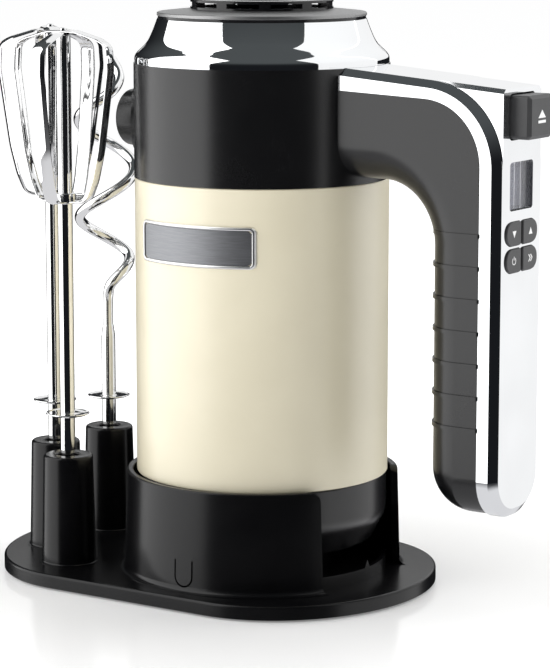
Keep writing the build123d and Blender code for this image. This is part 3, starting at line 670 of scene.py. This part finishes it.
def turned_shaft(bottom, disc_level, upper, upper_rounds, centre):
    """A round shaft with its splash disc, and the profile that it ends in."""
    points = [(0, bottom), (SHAFT_RADIUS, bottom)] + disc_profile(disc_level) + upper
    return turned(points, [0, SHAFT_END_ROUND] + DISC_ROUNDS + upper_rounds, centre, SHAFT_SEGMENTS)


def make_beater_shaft(number):
    node = f"beater_{number}_shaft"
    _, bottom, top = round_size(node)
    end = [(SHAFT_RADIUS, top), (0, top)]
    return turned_shaft(bottom, BEATER_DISC_LEVEL, end, [0.1, 0], centre_of(node))


def strip_along(path, turn, centre):
    """A crowned steel strip with thinned edges, bent along a path of (radius, height) points."""
    wide, thick, crown, steps = 6.2, 0.9, 0.25, 8
    thinned, thinned_power = 0.6, 6

    def thickness(share):
        return thick * (1 - thinned * abs(share) ** thinned_power)

    upper = []
    for step in range(steps + 1):
        share = 2 * step / steps - 1
        upper.append((share * wide / 2, thickness(share) / 2 + crown * (1 - share * share)))
    under = [(side, rise - thickness(2 * side / wide)) for side, rise in reversed(upper)]
    cos, sin = math.cos(turn), math.sin(turn)
    build = bmesh.new()
    rings = []
    for index, point in enumerate(path):
        before = path[max(index - 1, 0)]
        after = path[min(index + 1, len(path) - 1)]
        along = (after - before).normalized()
        out = Vector((along.y, -along.x))
        ring = []
        for side, rise in upper + under:
            flat = (point + out * rise) * MM
            x = flat.x * cos - side * MM * sin
            y = flat.x * sin + side * MM * cos
            ring.append(build.verts.new((centre.x + x, centre.y + y, flat.y)))
        rings.append(ring)
    skin(build, rings)
    build.faces.new(rings[0])
    build.faces.new(list(reversed(rings[-1])))
    bmesh.ops.recalc_face_normals(build, faces=build.faces)
    return shade(mesh_from(build), sharp_over=40)


def blade_path(bottom, top):
    """The middle line of one blade: out of the hub, up one side, over the top and down the other."""
    half, bend_steps = 21.8, 9
    right = [
        (3.3, bottom + 1),
        (0.50 * half, bottom + 1),
        (0.66 * half, bottom + 9.5),
        (0.79 * half, bottom + 21.5),
        (half, top - 15.5),
        (0.97 * half, top - 5.5),
        (0.78 * half, top - 3.2),
        (0.28 * half, top),
    ]
    left = [(-x, z) for x, z in reversed(right)]
    bends = [0, 5, 25, 60, 16, 4.5, 14, 14]
    return rounded(right + left, bends + bends[::-1], bend_steps)


def make_beater_blades(number, turn):
    """Two crossed blades, one passing under the other, with the hub and the rivet that hold them."""
    hub_bore, hub_radius, hub_height, edge = 3.15, 4.6, 4.5, 0.5
    rivet_radius, rivet_rise, step_down = 1.4, 1.5, 1
    centre = centre_of(f"beater_{number}_shaft")
    _, bottom, high = round_size(f"beater_{number}_blades")
    top = high - rivet_rise
    outer = strip_along(blade_path(bottom, top), turn, centre)
    inner = strip_along(blade_path(bottom, top - step_down), turn + math.pi / 2, centre)
    hub = [(hub_bore, bottom), (hub_radius, bottom), (hub_radius, bottom + hub_height)]
    hub += [(hub_bore, bottom + hub_height), (hub_bore, bottom)]
    rivet = [(0, top - step_down), (rivet_radius, top - step_down)]
    rivet += [(rivet_radius, top + rivet_rise), (0, top + rivet_rise)]
    collar = turned(hub, [0, edge, edge, 0, 0], centre, SHAFT_SEGMENTS)
    return joined(outer, inner, collar, turned(rivet, [0, 0, edge, 0], centre, 48))


def spiral_points():
    """Control points of the rod: a straight start, then an open spiral that closes in at its tip."""
    radius, foot, pitch, turns, steps = 12.3, 112, 43.0, 2.375, 38
    eighths = turns * 8
    points = [(0, 0, 96.5), (0, 0, 104), (0, 0, 110)]
    for step in range(1, steps + 1):
        angle = 2 * math.pi * turns * step / steps
        wound = step / steps * turns * 8
        reach = radius * min(1, wound / 3, 0.25 + (eighths - wound) / 5)
        height = foot + pitch * turns * step / steps
        points.append((reach * math.cos(angle), reach * math.sin(angle), height))
    return points


def make_dough_hook(number, turn):
    """A steel rod that is straight to above its splash disc, then winds up in an open spiral."""
    rod_radius, neck_start, neck_end = 2.3, 92, 98
    node = f"dough_hook_{number}"
    place = centre_of(f"tool_post_{number + 2}")
    _, bottom, _ = round_size(node)
    neck = [(SHAFT_RADIUS, neck_start), (rod_radius, neck_end), (0, neck_end)]
    shaft = turned_shaft(bottom, HOOK_DISC_LEVEL, neck, [6, 4, 0], place)
    curve = bpy.data.curves.new(node, "CURVE")
    curve.dimensions = "3D"
    spline = curve.splines.new("NURBS")
    points = spiral_points()
    spline.points.add(len(points) - 1)
    for control, point in zip(spline.points, points):
        spun = Matrix.Rotation(turn, 3, "Z") @ Vector(point)
        control.co = (place.x + spun.x * MM, place.y + spun.y * MM, spun.z * MM, 1)
    spline.order_u = 4
    spline.use_endpoint_u = True
    spline.resolution_u = 6
    curve.bevel_depth = rod_radius * MM
    curve.bevel_resolution = 6
    curve.use_fill_caps = True
    return joined(shaft, shade(plain_mesh(node, curve), sharp_over=50))


# Stand


def make_tool_post(number):
    """A tapered post on a thin foot, with a bore for the tool's shaft."""
    foot, foot_rise, base, tip, bore, floor = 12.8, 0.2, 11.5, 10.4, 4.6, 2
    node = f"tool_post_{number}"
    _, bottom, top = round_size(node)
    points = [
        (0, bottom),
        (foot, bottom),
        (foot, bottom + foot_rise),
        (base, bottom + foot_rise),
        (tip, top),
        (bore, top),
        (bore, bottom + floor),
        (0, bottom + floor),
    ]
    return turned(points, [0, 0, 0, 1.2, 1.3, 0.8, 0, 0], centre_of(node), 96)


# Marks printed on the keys


MARK_RISE = 0.00006
MARK_SINK = 0.00001


def flat_mark(outlines, face, y, z):
    """Thin raised print on a face that looks along +X, from outlines of (across, up) points."""
    build = bmesh.new()
    for points in outlines:
        corners = [build.verts.new((face, y + a * MM, z + b * MM)) for a, b in points]
        made = build.faces.new(corners)
        grown = bmesh.ops.extrude_face_region(build, geom=[made])
        lifted = [item for item in grown["geom"] if isinstance(item, bmesh.types.BMVert)]
        bmesh.ops.translate(build, verts=lifted, vec=(MARK_RISE, 0, 0))
    bmesh.ops.recalc_face_normals(build, faces=build.faces)
    return mesh_from(build)


def arc_band(radius, width, start, end, steps=28):
    """Four-cornered tiles along an arc, whose angles run clockwise from the top in degrees."""
    inner, outer = radius - width / 2, radius + width / 2
    tiles = []
    for step in range(steps):
        one = math.radians(start + (end - start) * step / steps)
        two = math.radians(start + (end - start) * (step + 1) / steps)
        corners = ((inner, one), (outer, one), (outer, two), (inner, two))
        tiles.append([(reach * math.sin(angle), reach * math.cos(angle)) for reach, angle in corners])
    return tiles


def key_marks():
    """Each key's symbol, as outlines about the middle of its face."""
    chevron = [(-1.6, -1.4), (-0.9, -1.4), (0.3, 0), (-0.9, 1.4), (-1.6, 1.4), (-0.4, 0)]
    stroke = [(-0.18, 0.3), (0.18, 0.3), (0.18, 1.8), (-0.18, 1.8)]
    arrow = [(-3.0, -0.4), (3.0, -0.4), (0, 2.8)]
    bar = [(-3.0, -2.4), (3.0, -2.4), (3.0, -1.3), (-3.0, -1.3)]
    return {
        "speed_down_key": [[(-1.5, 1.2), (1.5, 1.2), (0, -1.5)]],
        "speed_up_key": [[(-1.5, -1.2), (1.5, -1.2), (0, 1.5)]],
        "power_key": arc_band(1.35, 0.35, 35, 325) + [stroke],
        "boost_key": [chevron, [(a + 1.5, b) for a, b in chevron]],
        "eject_button": [arrow, bar],
    }


# The object

stand_for("body_sleeve", make_sleeve())
stand_for("nose_cover", make_nose_cover())
stand_for("nose_plate", make_nose_plate())
stand_for("vent_cap", make_vent_cap())
stand_for("badge_frame", make_badge_frame(), "badge_silver")

for number in (1, 2, 3, 4):
    stand_for(f"tool_post_{number}", make_tool_post(number))

# The blades are turned from the line between the two beaters, and each hook from +X.
BLADE_TURNS = {1: 52, 2: 0}
HOOK_TURNS = {1: -60, 2: 60}

between = centre_of("beater_2_shaft") - centre_of("beater_1_shaft")
along = math.atan2(between.y, between.x)
for number, turn in BLADE_TURNS.items():
    stand_for(f"beater_{number}_shaft", make_beater_shaft(number))
    stand_for(f"beater_{number}_blades", make_beater_blades(number, along + math.radians(turn)))
for number, turn in HOOK_TURNS.items():
    stand_for(f"dough_hook_{number}", make_dough_hook(number, math.radians(turn)))

for node, outlines in key_marks().items():
    _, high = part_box(node)
    middle = centre_of(node)
    mark = flat_mark(outlines, high.x - MARK_SINK, middle.y, middle.z)
    add_piece(f"{node}_mark", mark, BODY_OF[node], "key_print")

# The coil is a copy of the CAD node's mesh, set in the node's place with a mesh of its own.
coil_node = frame["nodes"]["eject_spring"]
coil_mesh = coil_node.data.copy()
coil_mesh.transform(coil_node.matrix_world)
coil = stand_for("eject_spring", coil_mesh)
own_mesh(coil)

BAR_COUNT = 24
BAR_THICK, BAR_WIDE, BAR_SINK = 0.0006, 0.0016, 0.0002
BAR_SHARE = 0.9
bar_low, bar_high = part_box("commutator")
bar_size = (BAR_THICK, BAR_WIDE, BAR_SHARE * (bar_high.z - bar_low.z))
bar_radius = bar_high.x - DRUM_AXIS.x - BAR_SINK
bar_level = (bar_low.z + bar_high.z) / 2
bars = ring_of_bars("commutator_bars", BAR_COUNT, bar_radius, bar_size, bar_level, "copper")
add_piece("commutator_bars", bars, "rotor", "copper")

for node, carried in frame["nodes"].items():
    carried.data.materials.clear()
    carried.data.materials.append(FINISHES[SLOT_OF[node]])


# Studio


def glowing_table(name, colour, rough):
    """A white table top with painted light: it glows, faintly near the object and strongly away from it.
    """
    near, far = (0.18, 0.18, 0.18), (0.95, 0.95, 0.95)
    finish = Finish(name, roughness=rough, emission_strength=1.0)
    point = finish.place()
    cloud = finish.noise(point, scale=3.0, detail=2.0)
    finish.set(base_color=finish.mix(cloud, dimmed(colour, 0.985), colour))
    x, y, _ = finish.split(point)
    # Painted light: the glow rises with the distance from the object.
    away = ((x * x + y * y) ** 0.5).between(0.06, 0.42)
    finish.set(emission_color=finish.mix(away, near, far))
    return finish.material


def lay_table(radius):
    """A round table top, which the chrome doesn't mirror."""
    build = bmesh.new()
    bmesh.ops.create_circle(build, cap_ends=True, segments=96, radius=radius)
    bmesh.ops.recalc_face_normals(build, faces=build.faces)
    mesh = mesh_from(build)
    mesh.materials.append(glowing_table("table_white", (0.93, 0.93, 0.93), 0.16))
    table = bpy.data.objects.new("table", mesh)
    table.visible_glossy = False
    bpy.context.scene.collection.objects.link(table)
    table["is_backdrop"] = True


lay_table(6.0)

CAMERA_TURN = math.radians(33.386)
CAMERA_DIP = math.radians(9.363)
CAMERA_PLACE = (0.6233, -0.9450, 0.2915)
CAMERA_LENS = 148.76
CAMERA_SENSOR = 36.0


def bearing(turn):
    """A level direction, by its angle in degrees to the right of the camera's own bearing."""
    angle = CAMERA_TURN + math.radians(turn)
    return Vector((math.sin(angle), -math.cos(angle), 0))


def soft_light(name, place, aim, wide, tall, power, seen):
    """A rectangular lamp, hidden from the camera. The chrome mirrors it only where seen is true."""
    lamp = bpy.data.lights.new(name, "AREA")
    lamp.shape = "RECTANGLE"
    lamp.size = wide
    lamp.size_y = tall
    lamp.energy = power
    holder = bpy.data.objects.new(name, lamp)
    holder.location = place
    holder.rotation_euler = (Vector(aim) - Vector(place)).to_track_quat("-Z", "Y").to_euler()
    holder.visible_camera = False
    holder.visible_glossy = seen
    bpy.context.scene.collection.objects.link(holder)


# Upright boxes and cards that the chrome mirrors: bearing, reach, width, lower edge, upper edge, power
SOFT_BOXES = {
    "left_box": (-86, 0.95, 1.55, -0.24, 2.5, 27.4),
    "right_box": (88, 0.95, 1.45, -0.55, 2.5, 14.2),
    "back_right_card": (144, 1.1, 0.86, 0.25, 2.3, 5.5),
    "back_card": (180, 1.2, 0.60, 0.30, 1.9, 2.8),
}
# Lamps that light paint and plastic, with no mirror image: place, height aimed at, width, height, power
FILLS = {
    "top_box": (Vector((-0.1, 0.1, 1.5)), 0.1, 1.1, 1.1, 3.7),
    "right_fill": (bearing(124) * 1.0 + Vector((0, 0, 0.3)), 0.12, 0.8, 1.0, 6.0),
    "left_fill": (bearing(-34) * 1.2 + Vector((0, 0, 0.4)), 0.12, 0.8, 0.8, 3.2),
}
for name, (turn, reach, wide, low, high, power) in SOFT_BOXES.items():
    place = bearing(turn) * reach + Vector((0, 0, (low + high) / 2))
    soft_light(name, place, (0, 0, place.z), wide, high - low, power, seen=True)
for name, (place, aim, wide, tall, power) in FILLS.items():
    soft_light(name, place, (0, 0, aim), wide, tall, power, seen=False)


def light_room(world):
    """White to the camera, dim light all round, and a dark room for mirrors, pale below."""
    backdrop, dim_light = (1, 1, 1), (0.08, 0.08, 0.08)
    level, overhead, below = (0.010, 0.011, 0.013), (0.078, 0.086, 0.089), (0.78, 0.78, 0.80)
    world.use_nodes = True
    room = Nodes(world.node_tree)
    _, _, height = room.split(room.node("ShaderNodeTexCoord", output="Generated"))
    above = room.mix(height.between(0.0, 0.85), level, overhead)
    mirrored = room.mix(height.between(-0.50, -0.30), below, above)
    unseen = room.mix(room.node("ShaderNodeLightPath", output="Is Glossy Ray"), dim_light, mirrored)
    shown = room.mix(room.node("ShaderNodeLightPath", output="Is Camera Ray"), unseen, backdrop)
    room.feed(room.tree.nodes["Background"].inputs["Color"], shown)


world = bpy.data.worlds.new("studio")
light_room(world)
bpy.context.scene.world = world

camera_data = bpy.data.cameras.new("camera")
camera_data.lens = CAMERA_LENS
camera_data.sensor_width = CAMERA_SENSOR
camera = bpy.data.objects.new("camera", camera_data)
camera.location = CAMERA_PLACE
camera.rotation_euler = (math.pi / 2 - CAMERA_DIP, 0, CAMERA_TURN)
bpy.context.scene.collection.objects.link(camera)
bpy.context.scene.camera = camera
bpy.context.scene.view_settings.view_transform = "Standard"

low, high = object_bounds()
